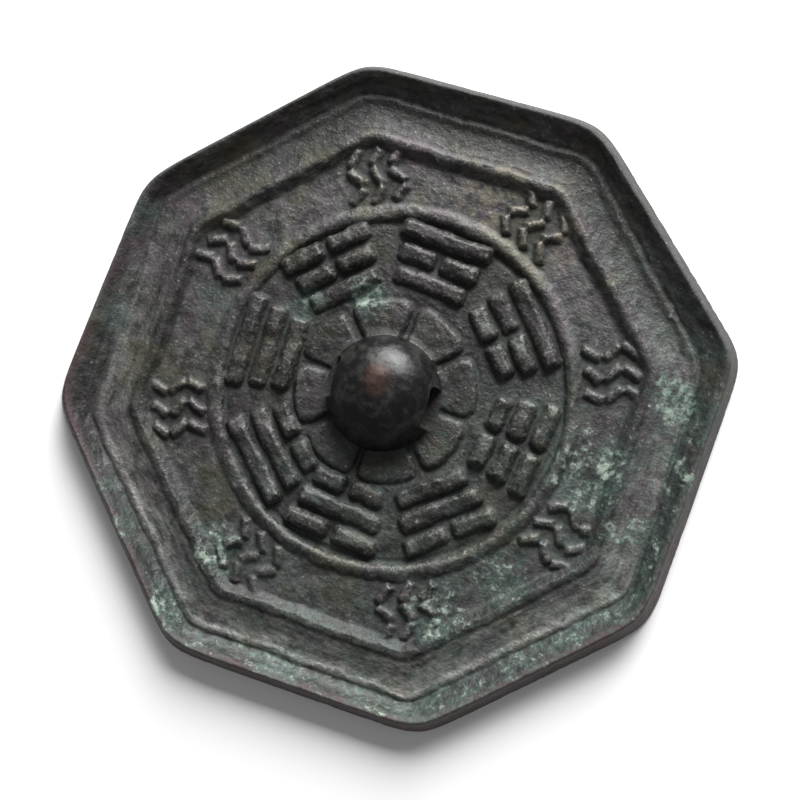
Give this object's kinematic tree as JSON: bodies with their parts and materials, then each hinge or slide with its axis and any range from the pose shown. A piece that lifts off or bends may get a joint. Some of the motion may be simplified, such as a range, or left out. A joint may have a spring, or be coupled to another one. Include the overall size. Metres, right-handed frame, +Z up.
{
  "type": "octagonal bronze mirror with trigram back",
  "caption": "Octagonal cast bronze mirror, decorated back up: raised rim, inner octagon, ring of trigrams, petals and a domed knob with a cord hole.",
  "frame": {"origin": "on the polished face, below the middle of the outline's box", "axes": "+Z up through the decorated back, +X along the cord hole of the knob and square to one side of the octagon"},
  "size_m": [0.1112, 0.1096, 0.0106],
  "materials": {
    "old_bronze": "dark patinated cast bronze with green corrosion in places"
  },
  "bodies": {
    "root": {"mirror": "old_bronze"}
  },
  "joints": []
}
